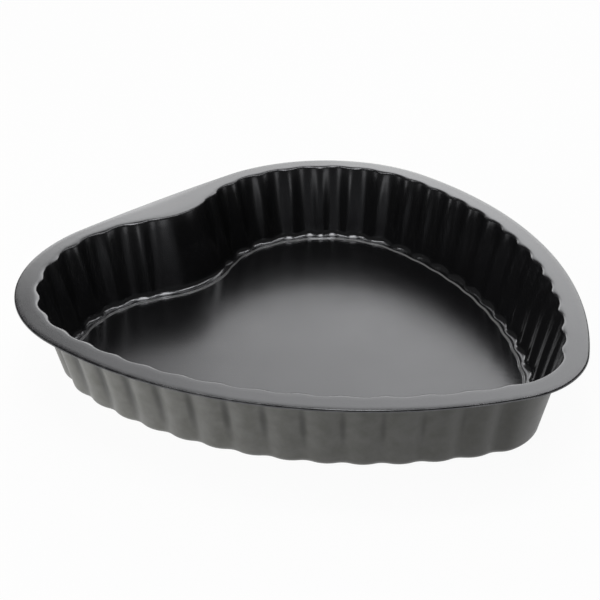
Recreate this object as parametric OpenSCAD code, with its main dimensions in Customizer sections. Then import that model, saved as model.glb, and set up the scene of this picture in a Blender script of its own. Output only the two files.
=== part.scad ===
// Heart-shaped fluted cake pan, pressed from one sheet of steel.
// Seen from above, the tip of the heart points to -Y and its two lobes to +Y.
// The origin is at the centre of the pan's outline, on the surface that the pan stands on.
// Offsets are measured outward from the corner line, where the slanted wall would meet
// the plane of the rim if the bend between them were sharp.

/* [Overall size] */
// Width over the rim, across the two lobes
pan_width = 260; // [236:1:300]
// Length over the rim, from the tip to the far edge of the lobes
pan_length = 270; // [250:1:320]
// Height from the surface to the top of the rim
pan_height = 43; // [30:1:60]
// Thickness of the steel sheet
sheet = 0.6; // [0.4:0.1:1]

/* [Heart outline] */
// Radius of the rounded tip, at the top of the wall
tip_r = 35.6; // [20:0.2:44]
// Radius of the long side between the tip and the shoulder
side_r = 202; // [170:1:320]
// Radius of the shoulder, the widest part of the heart
shoulder_r = 72.8; // [63:0.2:84]
// Radius of the top of each lobe
lobe_r = 62; // [50:0.2:63]
// Direction in which the shoulder passes into the top of the lobe, in degrees from +X
lobe_turn = 78; // [50:1:84]
// Radius of the cleft between the lobes
cleft_r = 33.6; // [24:0.2:60]

/* [Rim] */
// Width of the flat rim, from its edge to the corner line
rim_w = 10; // [7:0.1:16]
// Depth by which the edge of the rim is turned down below its underside
lip_drop = 0.4; // [0.2:0.1:3]
// Inner radius of the bend along that edge
lip_r = 0.2; // [0.1:0.1:1]
// Radius of the rim's edge where it runs straight on across the cleft
brow_r = 1000; // [450:5:2000]

/* [Wall] */
// Lean of the wall from upright, in degrees
wall_lean = 11.8; // [4:0.1:18]
// Radius of the bend from the rim into the wall
top_r = 1.6; // [1.4:0.1:4]
// Radius of the bend from the wall into the floor, inside the pan
foot_r = 4.1; // [1.5:0.1:8]

/* [Flutes] */
// Number of flutes along each side of the heart
flutes = 19; // [12:1:24]
// Depth of a flute at the top of the wall
flute_top = 1.5; // [0.5:0.1:3]
// Depth of a flute at the foot of the wall
flute_foot = 1.4; // [0.3:0.1:3]
// Part of a flute's depth that is left where the wall bends into the rim
rim_wave = 0.5; // [0:0.05:1]
// Width over which the crease between two flutes is rounded
crease_w = 6; // [1:0.1:6.4]
// Length of the plain wall round the tip, along the foot of the wall
tip_plain = 30; // [20:0.5:50]
// Length of the plain wall in the cleft, along the foot of the wall
cleft_plain = 66; // [40:0.5:80]

/* [Floor] */
// Width of the ledge between the foot of the wall and the sunk floor
ledge_w = 0.5; // [0.5:0.1:8]
// Depth by which the floor is sunk below the ledge
floor_drop = 0.8; // [0.4:0.1:2]
// Width of the slope from the ledge down to the floor
step_w = 0.9; // [0.5:0.1:2]
// Part of a flute's depth that is left on the ledge and the slope
step_wave = 0.4; // [0:0.05:1]

/* [Hidden] */

// heights of the upper face of the sheet
floor_z = sheet;
ledge_z = sheet + floor_drop;

// the turned-down edge of the rim
lip_out = lip_r + sheet;
lip_z = pan_height - sheet - lip_drop;

// the bends take this much of each straight side of their corner
bend = tan((90 - wall_lean) / 2);
top_take = top_r * bend;
foot_take = foot_r * bend;
wall_in = (pan_height - ledge_z) * tan(wall_lean);
foot_in = wall_in + foot_take;
step_in = foot_in + ledge_w;

// centres of the arcs that make the right half of the heart, laid out from the shoulder
shoulder_c = [pan_width / 2 - rim_w - shoulder_r, 0];
lobe_c = shoulder_c + (shoulder_r - lobe_r) * [cos(lobe_turn), sin(lobe_turn)];
cleft_c = [0, lobe_c.y + sqrt(pow(lobe_r + cleft_r, 2) - pow(lobe_c.x, 2))];
brow_c = [0, lobe_c.y - sqrt(pow(brow_r - lobe_r - rim_w, 2) - pow(lobe_c.x, 2))];
far_y = brow_c.y + brow_r;
tip_c = [0, far_y - pan_length + rim_w + tip_r];
side_c = far_centre(tip_c, side_r - tip_r, shoulder_c, side_r - shoulder_r);
mid_y = far_y - pan_length / 2;

// directions in which one arc passes into the next
tip_turn = heading(tip_c - side_c);
side_turn = heading(shoulder_c - side_c);
brow_turn = heading(lobe_c - brow_c);
cleft_turn = heading(cleft_c - lobe_c);

// each arc: centre, radius, first and last direction, 1 where it bulges out and -1 where in
arcs = [
    [tip_c, tip_r, -90, tip_turn, 1],
    [side_c, side_r, tip_turn, side_turn, 1],
    [shoulder_c, shoulder_r, side_turn, lobe_turn, 1],
    [lobe_c, lobe_r, lobe_turn, brow_turn, 1],
    [lobe_c, lobe_r, brow_turn, cleft_turn, 1],
    [cleft_c, cleft_r, cleft_turn - 180, -90, -1]
];

// length of each arc at the foot of the wall, where the flutes are evenly spaced
foot_len = [for (a = arcs) abs(a[3] - a[2]) * PI / 180 * (a[1] - a[4] * foot_in)];
foot_at = [for (i = 0, s = 0; i <= len(arcs); s = s + (i < len(arcs) ? foot_len[i] : 0), i = i + 1) s];
half_len = foot_at[len(arcs)];
brow_at = foot_at[4];

// spacing of the flutes, and the share of it that rounds one side of a crease
pitch = (half_len - tip_plain / 2 - cleft_plain / 2) / flutes;
soft = crease_w / 2 / pitch;

function heading(v) = atan2(v.y, v.x);

// point at distance ra from a and rb from b, on the left of the line from a to b
function far_centre(a, ra, b, rb) =
    let (d = norm(b - a), u = (b - a) / d, k = (d * d + ra * ra - rb * rb) / (2 * d))
    a + k * u + sqrt(ra * ra - k * k) * [-u.y, u.x];

// arc on which the place s along the foot of the wall lies
function arc_of(s, i = 0) = i == len(arcs) - 1 || s < foot_at[i + 1] ? i : arc_of(s, i + 1);

// crease between two flutes, 1 at its ridge and 0 from half a pitch away, u in pitches
function crease(u) =
    let (v = abs(u), ridge = 1 - 2 * soft - (2 - 4 * soft) / soft * v * v)
    v >= 0.5 ? 0 : (v < soft ? ridge : pow(1 - 2 * v, 2)) / (1 - 2 * soft);

// distance from the place s to the nearest crease, in pitches
function to_crease(s) =
    let (t = (s - tip_plain / 2) / pitch)
    t < 0 ? -t : t > flutes ? t - flutes : abs(t - round(t));

// one column of the wall: point on the corner line, outward direction, crease,
// and the share of the way from the lobe to the middle of the cleft
function column(s) =
    let (i = arc_of(s), a = arcs[i], w = a[2] + (s - foot_at[i]) / foot_len[i] * (a[3] - a[2]))
    let (out = [cos(w), sin(w)])
    [a[0] + a[1] * out, a[4] * out, crease(to_crease(s)), (s - brow_at) / (half_len - brow_at)];

// places of the columns: a few along each plain part, and six to a flute
tip_steps = 4;
cleft_steps = 5;
flute_steps = [0, soft, 0.32, 0.5, 0.68, 1 - soft];
places = [
    for (i = [0:tip_steps - 1]) tip_plain / 2 * i / tip_steps,
    for (k = [0:flutes - 1], t = flute_steps) tip_plain / 2 + (k + t) * pitch,
    for (i = [0:cleft_steps]) half_len - cleft_plain / 2 * (1 - i / cleft_steps)
];
columns = [for (s = places) column(s)];

// the two bends of the section: centre, then direction and depth of the flutes at each step
top_c = [top_take, pan_height - top_r];
top_bend = [for (w = [0:1/2:1]) [90 + w * (90 - wall_lean), flute_top * fade(rim_wave, 1, w)]];
foot_c = [-foot_in, ledge_z + foot_r];
foot_bend = [for (w = [0:1/4:1]) [-wall_lean - w * (90 - wall_lean), flute_foot * fade(1, step_wave, w)]];

// value that passes from a to b along half a wave of a cosine, while w goes from 0 to 1
function fade(a, b, w) = b + (a - b) * (1 + cos(180 * w)) / 2;

// section points along a bend of radius r round c
function along(bend, c, r) = [for (b = bend) [c.x + r * cos(b[0]), c.y + r * sin(b[0]), b[1], 0]];

function backwards(list) = [for (i = [len(list) - 1:-1:0]) list[i]];

// section of the sheet as [offset, height, depth of the flutes, 1 if it follows the rim's edge]
upper_face = [
    [rim_w, lip_z, 0, 1],
    [rim_w - lip_out * (1 - cos(45)), pan_height - lip_out * (1 - sin(45)), 0, 1],
    [rim_w - lip_out, pan_height, 0, 1],
    each along(top_bend, top_c, top_r),
    each along(foot_bend, foot_c, foot_r),
    [-step_in, ledge_z, flute_foot * step_wave, 0],
    [-step_in - step_w, floor_z, flute_foot * step_wave, 0]
];
// the slope of the floor turns both ways by this angle, which shifts its corners underneath
step_turn = sheet * tan(atan2(floor_drop, step_w) / 2);
under_face = [
    [step_turn - step_in - step_w, 0, flute_foot * step_wave, 0],
    [step_turn - step_in, floor_drop, flute_foot * step_wave, 0],
    each backwards(along(foot_bend, foot_c, foot_r + sheet)),
    each backwards(along(top_bend, top_c, top_r - sheet)),
    [rim_w - lip_out + lip_r * cos(45), pan_height - lip_out + lip_r * sin(45), 0, 1],
    [rim_w - sheet, lip_z, 0, 1]
];
section = concat(under_face, upper_face);

// the section point p carried to the column c
function placed(p, c) =
    let (on_brow = p[3] == 1 && c[3] > 0, w = brow_turn + c[3] * (90 - brow_turn))
    let (brow = brow_c + (brow_r - rim_w + p[0]) * [cos(w), sin(w)])
    let (xy = on_brow ? brow : c[0] + (p[0] - p[2] * c[2]) * c[1])
    [xy.x, xy.y - mid_y, p[1]];

// a ring runs once round the heart, the left half being the mirror of the right
last = len(columns) - 1;
around = 2 * last;
function ring(p) = [
    for (i = [0:last]) placed(p, columns[i]),
    for (i = [last - 1:-1:1]) let (q = placed(p, columns[i])) [-q.x, q.y, q.z]
];

// the fluted sheet: its section swept round the heart, closed by the floor's two faces
module pan() {
    points = [for (p = section) each ring(p)];
    bands = len(section) - 1;
    sides = [for (k = [0:bands - 1], i = [0:around - 1])
        let (a = k * around, b = a + around, j = (i + 1) % around)
        each i < last ? [[b + i, b + j, a + j], [b + i, a + j, a + i]]
                      : [[b + i, b + j, a + i], [b + j, a + j, a + i]]];
    under = [for (i = [0:around - 1]) i];
    floor = [for (i = [around - 1:-1:0]) bands * around + i];
    color([0.23, 0.23, 0.24])
        polyhedron(points = points, faces = concat(sides, [under, floor]), convexity = 8);
}

pan();
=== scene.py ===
# %% [markdown]
# # A fluted heart cake pan, pressed from one sheet of steel
# The real object is a single blank of thin steel sheet with a dark non-stick coating. A press
# draws it down into a heart-shaped die, so the flat rim, the slanted fluted wall and the sunk
# floor are all one skin of the same thickness.
# That decides how to model it: no pieces are joined. One section of the sheet is worked out in
# detail, carried round the outline of the heart, and closed at the middle of the floor.
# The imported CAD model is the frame, and everything here is in metres in that same frame.

# %% Load the frame
import bpy
import numpy as np
from mathutils import Matrix


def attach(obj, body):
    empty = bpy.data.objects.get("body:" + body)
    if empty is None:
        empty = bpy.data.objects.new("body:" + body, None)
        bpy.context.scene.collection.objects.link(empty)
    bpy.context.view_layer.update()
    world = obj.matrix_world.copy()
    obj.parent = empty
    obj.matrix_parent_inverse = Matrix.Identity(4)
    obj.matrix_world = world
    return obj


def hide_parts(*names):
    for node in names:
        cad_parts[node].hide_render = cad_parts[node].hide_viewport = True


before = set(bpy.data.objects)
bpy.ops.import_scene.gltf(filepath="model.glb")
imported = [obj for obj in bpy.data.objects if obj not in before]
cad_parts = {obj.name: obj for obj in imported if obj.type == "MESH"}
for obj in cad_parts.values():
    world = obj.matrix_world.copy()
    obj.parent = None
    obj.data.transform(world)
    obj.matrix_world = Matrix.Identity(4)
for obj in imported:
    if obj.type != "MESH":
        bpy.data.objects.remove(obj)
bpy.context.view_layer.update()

# %% [markdown]
# ## Sizes
# The sizes are the ones of the CAD model, in millimetres. A maker thinks of such a
# pan in these terms: the size of the heart, the five radii that its outline is made of, the
# rim, the lean of the wall, the flutes, and the step down to the floor.
# Three things are drawn finer here than in the CAD, because reflections show them: the flutes
# are a little deeper halfway down the wall, they keep their depth further into the bend at
# the foot, and the step bends gently instead of having two corners.

# %% Sizes of the pan, in millimetres
MM = 0.001
PAN_WIDTH, PAN_LENGTH, PAN_HEIGHT, SHEET = 260.0, 270.0, 43.0, 0.6
# radii of the outline at the top of the wall, and where the shoulder passes into the lobe
TIP_R, SIDE_R, SHOULDER_R, LOBE_R, CLEFT_R = 35.6, 202.0, 72.8, 62.0, 33.6
LOBE_TURN = np.radians(78.0)
# the rim, its turned-down edge, and the arc of that edge across the cleft
RIM_W, LIP_DROP, LIP_R, BROW_R = 10.0, 0.4, 0.2, 1000.0
# lean of the wall from upright, and the bends at its top and foot
LEAN = np.radians(11.8)
TOP_R, FOOT_R = 1.6, 4.1
# flutes on each side, their depths, the share of it left at the rim, and the plain lengths
FLUTES, FLUTE_TOP, FLUTE_FOOT, CREASE_W = 19, 1.5, 1.4, 6.0
RIM_WAVE, TIP_PLAIN, CLEFT_PLAIN = 0.5, 30.0, 66.0
# the ledge, the step down to the floor, and the share of the flutes' depth left on them
LEDGE_W, FLOOR_DROP, STEP_W, STEP_WAVE = 0.5, 0.8, 0.9, 0.4
# drawn finer than the CAD: extra depth of the flutes halfway down, and extra width of the step
FLUTE_BELLY, STEP_EASE = 0.6, 0.2

LIP_OUT = LIP_R + SHEET
LEDGE_Z = SHEET + FLOOR_DROP
BEND = np.tan((np.pi / 2 - LEAN) / 2)
FOOT_IN = (PAN_HEIGHT - LEDGE_Z) * np.tan(LEAN) + FOOT_R * BEND
STEP_IN = FOOT_IN + LEDGE_W
print(f"the foot of the wall lies {FOOT_IN:.2f} mm inside the corner line")

# %% [markdown]
# ## The outline of the heart
# Half a heart can be drawn as a chain of arcs that run smoothly into each other: the tip, the
# long side, the shoulder, the top of the lobe, and the cleft, which bends the other way. Two
# arcs meet smoothly when the line through their centres passes through the meeting point, so
# each centre follows from the one before by the sum or difference of two radii.
# Arcs suit a pressed pan better than a free curve, because the die is milled from radii, and
# light runs along the wall without sudden jumps.

# %% Centres and directions of the arcs
def heading(v):
    """Angle of the direction v, anticlockwise from +X."""
    return np.arctan2(v[1], v[0])


def far_centre(a, ra, b, rb):
    """Point at distance ra from a and rb from b, on the left of the line from a to b."""
    d = np.linalg.norm(b - a)
    u = (b - a) / d
    k = (d * d + ra * ra - rb * rb) / (2 * d)
    return a + k * u + np.sqrt(ra * ra - k * k) * np.array([-u[1], u[0]])


shoulder_c = np.array([PAN_WIDTH / 2 - RIM_W - SHOULDER_R, 0.0])
lobe_c = shoulder_c + (SHOULDER_R - LOBE_R) * np.array([np.cos(LOBE_TURN), np.sin(LOBE_TURN)])
cleft_c = np.array([0.0, lobe_c[1] + np.sqrt((LOBE_R + CLEFT_R) ** 2 - lobe_c[0] ** 2)])
brow_c = np.array([0.0, lobe_c[1] - np.sqrt((BROW_R - LOBE_R - RIM_W) ** 2 - lobe_c[0] ** 2)])
FAR_Y = brow_c[1] + BROW_R
MID_Y = FAR_Y - PAN_LENGTH / 2
tip_c = np.array([0.0, FAR_Y - PAN_LENGTH + RIM_W + TIP_R])
side_c = far_centre(tip_c, SIDE_R - TIP_R, shoulder_c, SIDE_R - SHOULDER_R)
tip_turn, side_turn = heading(tip_c - side_c), heading(shoulder_c - side_c)
brow_turn, cleft_turn = heading(lobe_c - brow_c), heading(cleft_c - lobe_c)

# one row for each arc: centre x and y, radius, first and last direction, 1 bulging out, -1 in
ARCS = np.array([
    [*tip_c, TIP_R, -np.pi / 2, tip_turn, 1],
    [*side_c, SIDE_R, tip_turn, side_turn, 1],
    [*shoulder_c, SHOULDER_R, side_turn, LOBE_TURN, 1],
    [*lobe_c, LOBE_R, LOBE_TURN, brow_turn, 1],
    [*lobe_c, LOBE_R, brow_turn, cleft_turn, 1],
    [*cleft_c, CLEFT_R, cleft_turn - np.pi, -np.pi / 2, -1],
])
foot_len = np.abs(ARCS[:, 4] - ARCS[:, 3]) * (ARCS[:, 2] - ARCS[:, 5] * FOOT_IN)
foot_at = np.concatenate([[0.0], np.cumsum(foot_len)])
HALF = foot_at[-1]
PITCH = (HALF - TIP_PLAIN / 2 - CLEFT_PLAIN / 2) / FLUTES
SOFT = CREASE_W / 2 / PITCH
print(f"half the heart is {HALF:.1f} mm along the foot, and a flute is {PITCH:.2f} mm wide")

# %% [markdown]
# ## Columns of the wall
# The wall is made of columns that stand side by side along the outline. Each column needs a
# point of the corner line, the direction that leads outward there, and how deep the crease is.
# A flute on the real pan is a broad shallow arc that bulges out, and two flutes meet in a
# narrow crease that points in. A parabola with a softened peak gives just that. The columns
# crowd together at the creases, where the surface turns fastest, and stay far apart between.

# %% Place the columns
def crease(u):
    """Depth of the crease at u pitches from it, 1 at its ridge and 0 half a pitch away.

    Outside the softened part it is (1 - 2u) squared, the parabola of one flute. Inside, a
    second parabola with level top joins it at the same height and slope."""
    v = np.minimum(np.abs(u), 0.5)
    ridge = 1 - 2 * SOFT - (2 - 4 * SOFT) / SOFT * v * v
    return np.where(v < SOFT, ridge, (1 - 2 * v) ** 2) / (1 - 2 * SOFT)


def to_crease(s):
    """Distance from the place s to the nearest crease, counted in pitches."""
    t = (s - TIP_PLAIN / 2) / PITCH
    return np.where(t < 0, -t, np.where(t > FLUTES, t - FLUTES, np.abs(t - np.round(t))))


def columns(s):
    """Corner point, outward direction and share of the brow for each place s along the foot.

    The arc that s lies on is looked up, and its direction w grows evenly with s along it."""
    i = np.clip(np.searchsorted(foot_at, s, side="right") - 1, 0, len(ARCS) - 1)
    cx, cy, r, first, last, bulge = ARCS[i].T
    w = first + (s - foot_at[i]) / foot_len[i] * (last - first)
    out = np.stack([np.cos(w), np.sin(w)], 1)
    point = np.stack([cx, cy], 1) + r[:, None] * out
    return point, bulge[:, None] * out, np.clip((s - foot_at[4]) / (HALF - foot_at[4]), 0, 1)


TIP_COLUMNS, PER_FLUTE, CLEFT_COLUMNS = 12, 22, 28
# half a wave of a cosine puts the columns of a flute close together at both its creases
share = 0.5 - 0.5 * np.cos(np.pi * np.arange(PER_FLUTE) / PER_FLUTE)
places = np.concatenate([
    np.linspace(0, TIP_PLAIN / 2, TIP_COLUMNS, endpoint=False),
    (TIP_PLAIN / 2 + (np.arange(FLUTES)[:, None] + share) * PITCH).ravel(),
    np.linspace(HALF - CLEFT_PLAIN / 2, HALF, CLEFT_COLUMNS),
])
corner, outward, brow_share = columns(places)
depth = crease(to_crease(places))
print(f"{len(places)} columns on each side of the heart")

# %% [markdown]
# ## The section of the sheet
# Cut across the wall, the sheet is one line: a small turned-down lip, the flat rim, a bend
# down, the slanted wall, a bend into the floor, a narrow ledge, and an S-shaped step to the
# floor. That line is the upper face. The lower face is the same line moved by the thickness
# of the sheet at right angles to it, which is what keeps the pan looking thin and even.

# %% Draw the section
def arc(cx, cz, r, first, last, steps):
    """Offsets and heights along an arc: the centre plus r times the cosine and sine."""
    w = np.linspace(first, last, steps)
    return np.stack([cx + r * np.cos(w), cz + r * np.sin(w)], 1)


def line(a, b, steps):
    """Points between a and b, both left out, evenly spread."""
    t = np.linspace(0, 1, steps + 2)[1:-1, None]
    return (1 - t) * np.array(a) + t * np.array(b)


LIP_POINTS, RIM_POINTS, TOP_POINTS, WALL_POINTS, FOOT_POINTS, STEP_POINTS = 7, 3, 9, 7, 11, 11
# the lip's arc starts this many radians below the level
LIP_START = 0.25
lip = arc(RIM_W - LIP_OUT, PAN_HEIGHT - LIP_OUT, LIP_OUT, -LIP_START, np.pi / 2, LIP_POINTS)
top_bend = arc(TOP_R * BEND, PAN_HEIGHT - TOP_R, TOP_R, np.pi / 2, np.pi - LEAN, TOP_POINTS)
foot_bend = arc(-FOOT_IN, LEDGE_Z + FOOT_R, FOOT_R, -LEAN, -np.pi / 2, FOOT_POINTS)
rim = line(lip[-1], top_bend[0], RIM_POINTS)
wall = line(top_bend[-1], foot_bend[0], WALL_POINTS)
# the step is half a wave of a cosine, a little wider than in the CAD so that it bends gently
fall = np.linspace(0, 1, STEP_POINTS)
step = np.stack([STEP_EASE / 2 - STEP_IN - (STEP_W + STEP_EASE) * fall,
                 SHEET + FLOOR_DROP * (0.5 + 0.5 * np.cos(np.pi * fall))], 1)
# one more point lies close to the foot of the step, so that the smooth shading of the step
# ends there and the floor mirrors as a flat face
FLOOR_EDGE = 0.3
step = np.concatenate([step, [[step[-1, 0] - FLOOR_EDGE, SHEET]]])
upper = np.concatenate([lip, rim, top_bend, wall, foot_bend, step])
# the lip ends in a level cut edge
upper[0] = [RIM_W, PAN_HEIGHT - SHEET - LIP_DROP]


def inward_normals(p):
    """Unit vectors at right angles to the line p, on the side of the sheet's lower face."""
    d = np.gradient(p, axis=0)
    n = np.stack([-d[:, 1], d[:, 0]], 1)
    return n / np.linalg.norm(n, axis=1, keepdims=True)


lower = upper + SHEET * inward_normals(upper)
lower[0] = [RIM_W - SHEET, PAN_HEIGHT - SHEET - LIP_DROP]
# the floor's lower face lies level on the table
lower[-1, 1] = 0.0


def fade(first, last, steps):
    """Values from first to last along half a wave of a cosine, level at both ends."""
    return last + (first - last) * (0.5 + 0.5 * np.cos(np.linspace(0, np.pi, steps)))


n_lip, n_rim = len(lip), len(rim)
rim_share = np.linspace(0, 1, n_rim + 2)[1:-1]
wall_share = np.linspace(0, 1, len(wall) + 2)[1:-1]
foot_share = np.linspace(0, 1, len(foot_bend))
# how deep the flutes are cut at each point of the section, with a cube that keeps them deep
# until late in the bend at the foot
flute = np.concatenate([
    np.zeros(n_lip),
    FLUTE_TOP * RIM_WAVE * rim_share,
    fade(FLUTE_TOP * RIM_WAVE, FLUTE_TOP, len(top_bend)),
    FLUTE_TOP + (FLUTE_FOOT - FLUTE_TOP) * wall_share + FLUTE_BELLY * np.sin(np.pi * wall_share),
    FLUTE_FOOT * (1 - (1 - STEP_WAVE) * foot_share ** 3),
    np.full(len(step), FLUTE_FOOT * STEP_WAVE),
])
# how far each point follows the rim's outer edge
follow = np.concatenate([np.ones(n_lip), 1 - rim_share, np.zeros(len(upper) - n_lip - n_rim)])
print(f"the section has {len(upper)} points on each face of the sheet")

# %% [markdown]
# ## Carry the section round the heart
# Every point of the section becomes a ring, and every place along the outline a column, so
# the whole skin is one grid of numbers: rings down, columns across. Most rings keep their
# distance from the corner line. The outer edge of the rim is different: it cuts straight
# across the cleft on an arc of its own, the brow, so the rim is widest there. The flat rim
# between the two is filled in by mixing them.

# %% Rings and columns
def sweep(face):
    """Grid of points, ring by column: corner plus outward direction times (offset - flutes).

    Rings that follow the brow take their place on its arc instead, by the share in follow."""
    off, z = face[:, 0, None, None], face[:, 1, None]
    near = corner + (off - flute[:, None, None] * depth[:, None]) * outward
    w = brow_turn + brow_share * (np.pi / 2 - brow_turn)
    brow = brow_c + (BROW_R - RIM_W + off) * np.stack([np.cos(w), np.sin(w)], 1)
    mix = follow[:, None, None] * (brow_share > 0)[:, None]
    xy = np.where(brow_share[:, None] > 0, near * (1 - mix) + brow * mix, near)
    return np.concatenate([xy - [0, MID_Y], np.broadcast_to(z[..., None], xy.shape[:2] + (1,))], 2)


def both_halves(half):
    """Right half followed by its mirror, without doubling the columns at tip and cleft."""
    left = half[:, -2:0:-1] * [-1, 1, 1]
    return np.concatenate([half, left], 1)


def shrink(edge, middle, steps):
    """Rings that run from the edge of the floor in to its middle, each a smaller copy."""
    share = np.linspace(1, 0, steps + 2)[1:-1, None, None]
    return middle + share * (edge - middle)


upper_grid, lower_grid = both_halves(sweep(upper)), both_halves(sweep(lower))
MIDDLE_UP, MIDDLE_LOW = np.array([0.0, 0.0, SHEET]), np.array([0.0, 0.0, 0.0])
FLOOR_RINGS = 4
upper_grid = np.concatenate([upper_grid, shrink(upper_grid[-1], MIDDLE_UP, FLOOR_RINGS)])
lower_grid = np.concatenate([lower_grid, shrink(lower_grid[-1], MIDDLE_LOW, FLOOR_RINGS)])
skin = np.concatenate([lower_grid[::-1], upper_grid])
rings, around = skin.shape[:2]
print(f"{rings} rings of {around} points")

# %% [markdown]
# ## One closed mesh
# Neighbouring rings are joined by four-sided faces, and the two middles by fans of triangles.
# The index arrays are worked out whole, by shifting a grid of numbers one step, instead of
# looping over vertices. The sum of the signed volumes under all faces tells whether they
# point outward, which a render needs for its bends and an export for its walls.

# %% Build the pan
def join(rings, around):
    """Quads between rings and triangles at both middles, as arrays of vertex numbers."""
    i = np.arange(rings * around).reshape(rings, around)
    j = np.roll(i, -1, axis=1)
    quads = np.stack([i[:-1], j[:-1], j[1:], i[1:]], -1).reshape(-1, 4)
    low, up = rings * around, rings * around + 1
    under = np.stack([np.full(around, low), j[0], i[0]], 1)
    over = np.stack([np.full(around, up), i[-1], j[-1]], 1)
    return quads, np.concatenate([under, over])


def make_mesh(name, points, quads, tris):
    """Mesh from whole arrays: corner numbers in one row, and where each face starts in it."""
    mesh = bpy.data.meshes.new(name)
    mesh.vertices.add(len(points))
    mesh.vertices.foreach_set("co", points.astype(np.float32).ravel())
    mesh.loops.add(quads.size + tris.size)
    mesh.loops.foreach_set("vertex_index", np.concatenate([quads.ravel(), tris.ravel()]).astype(np.int32))
    starts = np.concatenate([np.arange(len(quads)) * 4, quads.size + np.arange(len(tris)) * 3])
    mesh.polygons.add(len(starts))
    mesh.polygons.foreach_set("loop_start", starts.astype(np.int32))
    mesh.update(calc_edges=True)
    mesh.validate()
    mesh.shade_smooth()
    return mesh


points = np.concatenate([skin.reshape(-1, 3), [MIDDLE_LOW, MIDDLE_UP]]) * MM
quads, tris = join(rings, around)
a, b, c, d = points[quads].transpose(1, 0, 2)
volume = (np.einsum("ij,ij->", a, np.cross(b, c)) + np.einsum("ij,ij->", a, np.cross(c, d))) / 6
volume += np.einsum("ij,ij->", points[tris[:, 0]], np.cross(points[tris[:, 1]], points[tris[:, 2]])) / 6
pan = bpy.data.objects.new("heart_pan", make_mesh("heart_pan", points, quads, tris))
bpy.context.scene.collection.objects.link(pan)
print(f"{len(quads) * 2 + len(tris)} triangles hold {volume * 1e6:.2f} cm3 of steel")

# %% [markdown]
# ## Coordinates that follow the sheet
# The marks that the press leaves run down the wall, so their pattern needs coordinates that
# follow the sheet. The sheet is thought of as rolled into a ring: the place along the wall is
# an angle and the way down the section is a height. On the wall, distances stay nearly true,
# and there is no seam anywhere.

# %% Rolled coordinates
along = np.concatenate([places, 2 * HALF - places[-2:0:-1]])
angle = along / (2 * HALF) * 2 * np.pi
ring_r = 2 * HALF / (2 * np.pi)
down = np.concatenate([[0.0], np.cumsum(np.linalg.norm(np.diff(upper, axis=0), axis=1))])
# way from the edge of the floor to its middle, the same for all columns
TO_MIDDLE = 100.0
one_face = np.concatenate([down, down[-1] + np.linspace(0, TO_MIDDLE, FLOOR_RINGS + 2)[1:-1]])
ring_down = np.concatenate([one_face[::-1], one_face])
rolled = np.empty((rings, around, 3))
rolled[..., 0] = ring_r * np.cos(angle)
rolled[..., 1] = ring_r * np.sin(angle)
rolled[..., 2] = ring_down[:, None]
rolled = np.concatenate([rolled.reshape(-1, 3), [[0, 0, down[-1] + TO_MIDDLE]] * 2]) * MM


def set_attribute(mesh, name, kind, values):
    """Stores one value or vector for each vertex under a name that a material can read."""
    data = mesh.attributes.new(name, kind, "POINT").data
    data.foreach_set("vector" if kind == "FLOAT_VECTOR" else "value", values.astype(np.float32).ravel())


set_attribute(pan.data, "rolled", "FLOAT_VECTOR", rolled)
print("the sheet is rolled into a ring of radius", round(ring_r, 1), "mm")

# %% [markdown]
# ## Masks for the finish
# The finish changes from place to place: the outside differs from the inside, and edges wear.
# Two masks also lead painted light: a highlight along the step, and shade in the grooves.
# Each such place is a mask, a number from 0 to 1 stored for every vertex. As the mesh is a
# grid, most masks need just one number for each ring, spread over all columns.

# %% Masks on the rings
def set_mask(name, lower_rings, upper_rings, across=1.0):
    """Stores a value for each vertex: the value of its ring times the value of its column.

    Rings are given from the edge of the rim inwards, and those not given are 0."""
    low, up = np.zeros(len(lower_grid)), np.zeros(len(upper_grid))
    low[:len(lower_rings)], up[:len(upper_rings)] = lower_rings, upper_rings
    whole = np.concatenate([low[::-1], up])[:, None] * (np.ones(around) * across)
    set_attribute(pan.data, name, "FLOAT", np.concatenate([whole.ravel(), [whole[0, 0], whole[-1, 0]]]))


# the punch smoothed the coated blank a little on the wall, and fully where it bends at the foot
WALL_SMOOTHED = 0.3
smoothed = np.concatenate([
    np.zeros(n_lip + n_rim + len(top_bend)),
    np.full(len(wall), WALL_SMOOTHED),
    np.ones(len(foot_bend) + len(step)),
])
# painted highlight: lighter colour along the step of the floor, strongest halfway down it
painted_step_highlight = np.concatenate([np.zeros(len(upper) - len(step)), np.sin(np.pi * fall) ** 2, [0.0]])
set_mask("rim_edge", np.ones(2), np.ones(n_lip))
set_mask("outside", np.ones(len(lower_grid)), [])
set_mask("smoothed", [], smoothed)
set_mask("step_line_highlight", [], painted_step_highlight)
# how deep each point lies in a crease; the coat paints shade there
set_mask("groove", flute / FLUTE_TOP, flute / FLUTE_TOP, np.concatenate([depth, depth[-2:0:-1]]))
print("attributes:", [x.name for x in pan.data.attributes if not x.name.startswith(".")])

# %% [markdown]
# ## The non-stick coating
# The pan is steel sheet with a sprayed and baked fluoropolymer coat, pigmented almost black.
# It is satin: reflections are there but soft, and they grow strong where one looks along the
# surface. The index of refraction is 1.9, above the 1.4 of clear resin, and stands for the
# flakes of pigment, which mirror too. Up close a sprayed coat has orange peel, a faint waviness
# about a millimetre wide, and a fine grain from the pigment.
# Inside, the wall and above all its foot were smoothed by the punch, so they are glossier than
# the floor. Outside there is only a thin grey lacquer, duller and a little warm, with painted
# shade in the grooves and towards the tip. The edge of the rim rubs a little lighter in use,
# and a painted highlight runs along the step of the floor.

# %% Colour and node helpers
def srgb(code):
    """Linear colour of an sRGB hex value: below 0.04045 divided by 12.92, above it a power."""
    c = np.array([int(code[i:i + 2], 16) / 255 for i in (1, 3, 5)])
    low, high = c / 12.92, ((c + 0.055) / 1.055) ** 2.4
    return (*np.where(c <= 0.04045, low, high).tolist(), 1.0)


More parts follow.
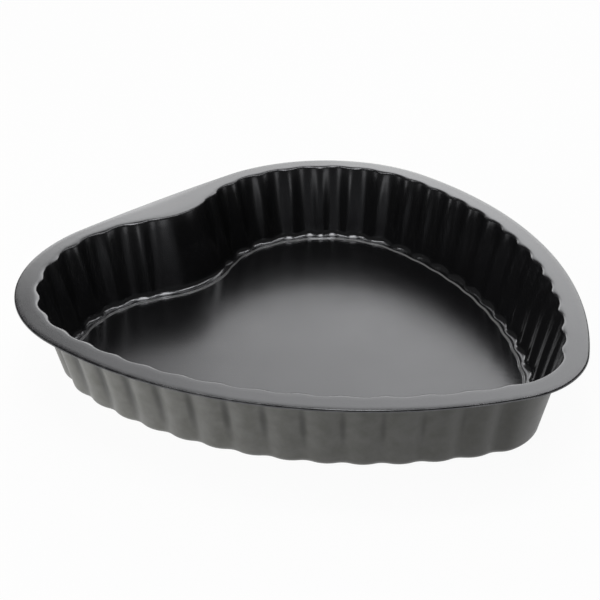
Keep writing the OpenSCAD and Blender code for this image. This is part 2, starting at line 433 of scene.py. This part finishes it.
def add_node(tree, kind, links={}, **settings):
    """Adds a node. Settings are its properties, or its inputs where the name starts with in_.

    links pairs an input's name or number with the output socket that feeds it. Inputs that
    share a name go by number: a Mix blends numbers 2 and 3 or colours 6 and 7, and a Map
    Range turns the span from input 1 to 2 into the span from input 3 to 4."""
    node = tree.nodes.new(kind)
    for key, value in settings.items():
        if key.startswith("in_"):
            name = key[3:].replace("_", " ")
            node.inputs[int(name) if name.isdigit() else name].default_value = value
        else:
            setattr(node, key, value)
    for key, socket in links.items():
        tree.links.new(socket, node.inputs[key])
    return node


def new_material(name):
    """An empty material with its node tree, ready for its own nodes."""
    made = bpy.data.materials.new(name)
    made.use_nodes = True
    made.node_tree.nodes.clear()
    return made, made.node_tree


print("lightest patches of the lacquer, linear:", np.round(srgb("#626260")[:3], 3).tolist())

# %% Patterns in the coat
coat, tree = new_material("fluoropolymer_coat_on_drawn_steel")
place = add_node(tree, "ShaderNodeTexCoord").outputs["Object"]
sheet_place = add_node(tree, "ShaderNodeAttribute", attribute_name="rolled").outputs["Vector"]
worn = add_node(tree, "ShaderNodeAttribute", attribute_name="rim_edge").outputs["Fac"]
outer = add_node(tree, "ShaderNodeAttribute", attribute_name="outside").outputs["Fac"]
ironed = add_node(tree, "ShaderNodeAttribute", attribute_name="smoothed").outputs["Fac"]
# a patch of a noise is half a cell wide, so each scale is 0.5 divided by the patch's width
# cloudy patches about 20 mm wide: the spray was never perfectly even
cloud = add_node(tree, "ShaderNodeTexNoise", {"Vector": place}, in_Scale=0.5 / (20 * MM), in_Detail=3.0)
# mottling about 3.5 mm wide, seen on the thin lacquer outside
mottle = add_node(tree, "ShaderNodeTexNoise", {"Vector": place}, in_Scale=0.5 / (3.5 * MM), in_Detail=4.0)
# orange peel 1.1 mm wide
peel = add_node(tree, "ShaderNodeTexNoise", {"Vector": place}, in_Scale=0.5 / (1.1 * MM), in_Detail=1.0)
# grain of the pigment, drawn 0.3 mm wide, coarser than the real 0.05 mm, so that it shows
grain = add_node(tree, "ShaderNodeTexNoise", {"Vector": place}, in_Scale=0.5 / (0.3 * MM), in_Detail=1.0)
# drawing marks on the rolled sheet, 1.5 mm wide and 25 times as long, down the wall
stretched = add_node(tree, "ShaderNodeMapping", {"Vector": sheet_place}, in_Scale=(1, 1, 1 / 25))
marks = add_node(tree, "ShaderNodeTexNoise", {"Vector": stretched.outputs[0]}, in_Scale=0.5 / (1.5 * MM),
                 in_Detail=3.0)
print("patterns in the coat:", len(tree.nodes), "nodes")

# %% [markdown]
# ## Colours of the coat
# The colours are laid on in layers: first the two sprayed coats, almost black inside and a
# mottled grey outside, then painted shade in the grooves and towards the tip, and last the
# rubbed edge of the rim and a painted highlight along the step. The shade is multiplied onto
# the lacquer, because it can only darken what it lies on.

# %% Colours of the coat
inside_tone = add_node(tree, "ShaderNodeMix", {"Factor": cloud.outputs["Fac"]}, data_type="RGBA",
                       in_6=srgb("#0c0c0d"), in_7=srgb("#121213"))
spread = add_node(tree, "ShaderNodeMapRange", {"Value": mottle.outputs["Fac"]}, in_1=0.35, in_2=0.65)
outside_tone = add_node(tree, "ShaderNodeMix", {"Factor": spread.outputs[0]}, data_type="RGBA",
                        in_6=srgb("#484844"), in_7=srgb("#626260"))
# painted shade: the outside lacquer is darker deep in the grooves between the flutes, and darker towards the
# tip
groove = add_node(tree, "ShaderNodeAttribute", attribute_name="groove").outputs["Fac"]
deep = add_node(tree, "ShaderNodeMath", {0: groove}, operation="POWER", in_1=3.0)
towards = add_node(tree, "ShaderNodeSeparateXYZ", {"Vector": place})
shade_towards_tip = add_node(tree, "ShaderNodeMapRange", {"Value": towards.outputs["Y"]},
                  in_1=-0.12, in_2=0.04, in_3=0.75, in_4=0.0)
shade_in_grooves = add_node(tree, "ShaderNodeMath", {0: deep.outputs[0]}, operation="MULTIPLY", in_1=0.3)
painted_shade = add_node(tree, "ShaderNodeMath", {0: shade_in_grooves.outputs[0], 1: shade_towards_tip.outputs[0]},
                operation="SMOOTH_MAX", in_2=0.2, use_clamp=True)
# the outside tone with the painted shade multiplied onto it
outside_tone_with_shade = add_node(tree, "ShaderNodeMix", {"Factor": painted_shade.outputs[0], 6: outside_tone.outputs[2]},
                 data_type="RGBA", blend_type="MULTIPLY", in_7=srgb("#606060"))
tone = add_node(tree, "ShaderNodeMix", {"Factor": outer, 6: inside_tone.outputs[2], 7: outside_tone_with_shade.outputs[2]},
                data_type="RGBA")
# handling has thinned the coat along the edge of the rim, in patches a few millimetres long
nick = add_node(tree, "ShaderNodeMapRange", {"Value": mottle.outputs["Fac"]}, in_1=0.45, in_2=0.7, in_4=0.2)
rub = add_node(tree, "ShaderNodeMath", {0: nick.outputs[0], 1: worn}, operation="MULTIPLY")
# painted highlight: the step of the floor is drawn lighter, as a line of light along its bend
step_highlight_mask = add_node(tree, "ShaderNodeAttribute", attribute_name="step_line_highlight").outputs["Fac"]
# the rim's wear and the painted step highlight lighten towards the same grey
wear_and_step_highlight = add_node(tree, "ShaderNodeMath", {0: rub.outputs[0], 1: step_highlight_mask}, operation="MAXIMUM")
colour = add_node(tree, "ShaderNodeMix", {"Factor": wear_and_step_highlight.outputs[0], 6: tone.outputs[2]}, data_type="RGBA",
                  in_7=srgb("#7a7a7a"))
print("with the colours:", len(tree.nodes), "nodes")

# %% [markdown]
# ## Gloss and relief of the coat
# Roughness follows the same masks as the colours: satin on the floor and the rim, glossier
# where the punch rubbed, dull outside. The relief is far finer than the mesh, so it is drawn
# as bumps. Each bump takes the normal of the one before, which adds the heights up.

# %% Gloss and relief of the coat
gloss = add_node(tree, "ShaderNodeMapRange", {"Value": cloud.outputs["Fac"]},
                 in_1=0.3, in_2=0.7, in_3=0.22, in_4=0.27)
dull = add_node(tree, "ShaderNodeMapRange", {"Value": mottle.outputs["Fac"]},
                in_1=0.3, in_2=0.7, in_3=0.36, in_4=0.46)
sleek = add_node(tree, "ShaderNodeMapRange", {"Value": cloud.outputs["Fac"]},
                 in_1=0.3, in_2=0.7, in_3=0.15, in_4=0.19)
inner = add_node(tree, "ShaderNodeMix", {"Factor": ironed, 2: gloss.outputs[0], 3: sleek.outputs[0]})
rough = add_node(tree, "ShaderNodeMix", {"Factor": outer, 2: inner.outputs[0], 3: dull.outputs[0]})
# reflections are a little cool in the coat inside and a little warm in the thin lacquer
# outside, and the painted shade weakens them in the grooves and towards the tip
lacquer = add_node(tree, "ShaderNodeMix", {"Factor": painted_shade.outputs[0]}, data_type="RGBA",
                   in_6=srgb("#fffff8"), in_7=srgb("#505050"))
tint = add_node(tree, "ShaderNodeMix", {"Factor": outer, 7: lacquer.outputs[2]}, data_type="RGBA",
                in_6=srgb("#fafbff"))
# heights of the relief: grain 3, orange peel 10 and drawing marks 15 thousandths of a millimetre
grainy = add_node(tree, "ShaderNodeBump", {"Height": grain.outputs["Fac"]}, in_Strength=1.0,
                  in_Distance=0.003 * MM)
peeled = add_node(tree, "ShaderNodeBump", {"Height": peel.outputs["Fac"], "Normal": grainy.outputs[0]},
                  in_Strength=1.0, in_Distance=0.010 * MM)
drawn = add_node(tree, "ShaderNodeBump", {"Height": marks.outputs["Fac"], "Normal": peeled.outputs[0]},
                 in_Strength=1.0, in_Distance=0.015 * MM)
satin = add_node(tree, "ShaderNodeBsdfPrincipled",
                 {"Base Color": colour.outputs[2], "Roughness": rough.outputs[0], "Normal": drawn.outputs[0],
                  "Specular Tint": tint.outputs[2]},
                 in_Metallic=0.0, in_IOR=1.9)
add_node(tree, "ShaderNodeOutputMaterial", {"Surface": satin.outputs[0]})
pan.data.materials.append(coat)
print("material:", coat.name, "with", len(tree.nodes), "nodes")

# %% [markdown]
# ## A white table in a dim studio
# The coat is dark, so what one sees in it is mostly the room: the floor of the pan and its flat
# rim mirror whatever stands behind, and the inner wall mirrors the dark wall across. So the
# room matters as much as the material. It could be an image of a real studio, but a few plain
# lamps are easier to place and to understand.
# The table is white laminate. It glows white for the camera and in mirror images only, so the
# white around the pan adds no light to the pan's diffuse colours. A small part of what the
# camera sees is the lit laminate itself, which keeps a trace of the pan's shadow.

# %% Table
def flat_square(name, size, z):
    """A level square of the given size at height z, with its centre under the pan's."""
    h = size / 2
    mesh = bpy.data.meshes.new(name)
    mesh.from_pydata([(-h, -h, z), (h, -h, z), (h, h, z), (-h, h, z)], [], [(0, 1, 2, 3)])
    made = bpy.data.objects.new(name, mesh)
    bpy.context.scene.collection.objects.link(made)
    return made


# in metres, and a hair below the pan, so that the two faces don't fall together
TABLE_SIZE, TABLE_Z = 12.0, -0.0002
# share of the glow in what the camera sees
TABLE_GLOW = 0.95
table = flat_square("table", TABLE_SIZE, TABLE_Z)
laminate, tree = new_material("white_laminate_table")
seen = add_node(tree, "ShaderNodeLightPath")
matt = add_node(tree, "ShaderNodeBsdfDiffuse", in_Color=srgb("#f2f2f2"))
glow = add_node(tree, "ShaderNodeEmission", in_Color=(1, 1, 1, 1), in_Strength=1.0)
mirrored = add_node(tree, "ShaderNodeMath",
                    {0: seen.outputs["Is Glossy Ray"], 1: seen.outputs["Is Transmission Ray"]},
                    operation="MAXIMUM")
by_camera = add_node(tree, "ShaderNodeMath", {0: seen.outputs["Is Camera Ray"]},
                     operation="MULTIPLY", in_1=TABLE_GLOW)
glow_share = add_node(tree, "ShaderNodeMath", {0: mirrored.outputs[0], 1: by_camera.outputs[0]},
                      operation="MAXIMUM")
top = add_node(tree, "ShaderNodeMixShader",
               {0: glow_share.outputs[0], 1: matt.outputs[0], 2: glow.outputs[0]})
add_node(tree, "ShaderNodeOutputMaterial", {"Surface": top.outputs[0]})
table.data.materials.append(laminate)
print("table:", table.name)

# %% [markdown]
# ## The room and its lamps
# The room is dim. Soft upright panels stand behind the pan and give the broad sheen on floor
# and rim. They are cut in two heights, as the sheen in the photograph is brighter towards the
# level. A strip and three small panels overhead make the beads of light in the bend at the
# foot of the wall. Four low strips stand in front and to both sides, and show only just over
# the near rim, so each flute of the far wall mirrors them as narrow streaks that fade
# downwards. One lamp on the left fills the outer wall and isn't mirrored.
# The world is white where the camera looks past the table, but dim for what lights the pan or
# is mirrored in it, because the real coat mirrors a dim room as well.

# %% Room
# strength of the world in mirror images and as light on the pan, where 1 is white
DIM = 0.07
world = bpy.data.worlds.new("white_room")
bpy.context.scene.world = world
world.use_nodes = True
world.node_tree.nodes.clear()
ray = add_node(world.node_tree, "ShaderNodeLightPath").outputs
direct = add_node(world.node_tree, "ShaderNodeMath", {0: ray["Is Camera Ray"], 1: ray["Is Transmission Ray"]},
                  operation="MAXIMUM")
strength = add_node(world.node_tree, "ShaderNodeMath", {0: direct.outputs[0]}, operation="MAXIMUM", in_1=DIM)
room = add_node(world.node_tree, "ShaderNodeBackground", {"Strength": strength.outputs[0]},
                in_Color=srgb("#ffffff"))
add_node(world.node_tree, "ShaderNodeOutputWorld", {"Surface": room.outputs[0]})
print("room ready:", world.name)

# %% Lamps
def placed(axes, place):
    """Matrix whose first three columns are the axes and whose last is the place."""
    return Matrix(np.vstack([np.column_stack([axes, place]), [0, 0, 0, 1]]).tolist())


def soft_panel(name, size, place, target, radiance):
    """A rectangular lamp at place that faces target. Its watts are radiance times pi and area."""
    lamp = bpy.data.lights.new(name, "AREA")
    lamp.shape, lamp.size, lamp.size_y = "RECTANGLE", *size
    lamp.energy = radiance * np.pi * size[0] * size[1]
    made = bpy.data.objects.new(name, lamp)
    made.visible_camera = False
    aim = np.array(place) - np.array(target)
    z = aim / np.linalg.norm(aim)
    x = np.cross([0, 0, 1], z)
    x /= np.linalg.norm(x)
    made.matrix_world = placed(np.stack([x, np.cross(z, x), z], 1), place)
    bpy.context.scene.collection.objects.link(made)
    return made


def upright_panel(name, azimuths, heights, radiance):
    """Upright lamp at PANEL_FAR, between two azimuths in degrees clockwise from +Y.

    Its width is twice that distance times the tangent of half the angle between them."""
    a, half = np.radians(np.mean(azimuths)), np.radians(azimuths[1] - azimuths[0]) / 2
    z = np.mean(heights)
    size = (2 * PANEL_FAR * np.tan(half), heights[1] - heights[0])
    place = (PANEL_FAR * np.sin(a), PANEL_FAR * np.cos(a), z)
    return soft_panel(name, size, place, (0.0, 0.0, z), radiance)


# metres from the pan to the upright panels, and half the width of a low strip in degrees
PANEL_FAR, STRIP_HALF = 1.6, 7
upright_panel("right_panel_low", (47, 80), (0.1, 0.78), 2.35)
upright_panel("right_panel_high", (47, 80), (0.78, 1.65), 1.9)
upright_panel("middle_panel_low", (34.5, 47), (0.1, 0.70), 1.95)
upright_panel("middle_panel_high", (34.5, 47), (0.70, 1.65), 1.7)
upright_panel("left_panel_low", (19, 34.5), (0.1, 0.76), 2.5)
upright_panel("left_panel_high", (25, 34.5), (0.76, 1.65), 0.95)
for number, azimuth in enumerate((135, 195, 255, 315), 1):
    sides = (azimuth - STRIP_HALF, azimuth + STRIP_HALF)
    upright_panel(f"low_strip_{number}", sides, (0.03, 0.35), 1.1)
PAN_MIDDLE, SMALL_PANEL = (0.0, 0.0, 0.0), (0.2, 0.3)
soft_panel("overhead_strip", (0.22, 0.8), (-0.04, -0.04, 1.15), PAN_MIDDLE, 5.5)
soft_panel("left_upper_panel", SMALL_PANEL, (-0.147, 0.383, 1.128), PAN_MIDDLE, 6.0)
soft_panel("right_upper_panel", SMALL_PANEL, (0.387, -0.136, 1.128), PAN_MIDDLE, 6.0)
soft_panel("right_lower_panel", SMALL_PANEL, (0.703, -0.054, 0.971), PAN_MIDDLE, 3.5)
fill = soft_panel("front_fill", (1.2, 1.2), (-1.5, 0.1, 0.7), PAN_MIDDLE, 3.5)
fill.visible_glossy = False

# %% [markdown]
# ## The camera
# The camera stands where the photograph was taken from: in front and to the left, 29 degrees
# above the level. Its place and lens were worked out from the outlines of rim, floor and foot.

# %% Camera
def camera_at(azimuth, elevation, roll, distance, target, lens):
    """Camera on a line from target: back = (sin a cos e, -cos a cos e, sin e), turned by roll."""
    a, e, r = np.radians([azimuth, elevation, roll])
    back = np.array([np.sin(a) * np.cos(e), -np.cos(a) * np.cos(e), np.sin(e)])
    x = np.cross([0, 0, 1], back)
    x /= np.linalg.norm(x)
    y = np.cross(back, x)
    turned = np.stack([np.cos(r) * x + np.sin(r) * y, np.cos(r) * y - np.sin(r) * x, back], 1)
    place = np.array(target) + distance * back
    made = bpy.data.objects.new("camera", bpy.data.cameras.new("camera"))
    made.data.lens, made.data.sensor_width, made.data.clip_start = lens, 36.0, 0.01
    made.matrix_world = placed(turned, place)
    bpy.context.scene.collection.objects.link(made)
    return made


bpy.context.scene.camera = camera_at(azimuth=-44.429, elevation=28.886, roll=-1.170, distance=0.53406,
                                     target=(0.00119, 0.02285, 0.020), lens=62.85)
bpy.context.scene.view_settings.view_transform = "Standard"
print("camera at", np.round(bpy.context.scene.camera.matrix_world.translation, 3).tolist())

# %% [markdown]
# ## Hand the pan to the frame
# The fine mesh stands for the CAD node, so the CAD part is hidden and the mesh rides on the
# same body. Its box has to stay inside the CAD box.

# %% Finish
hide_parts("pan")
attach(pan, "root")
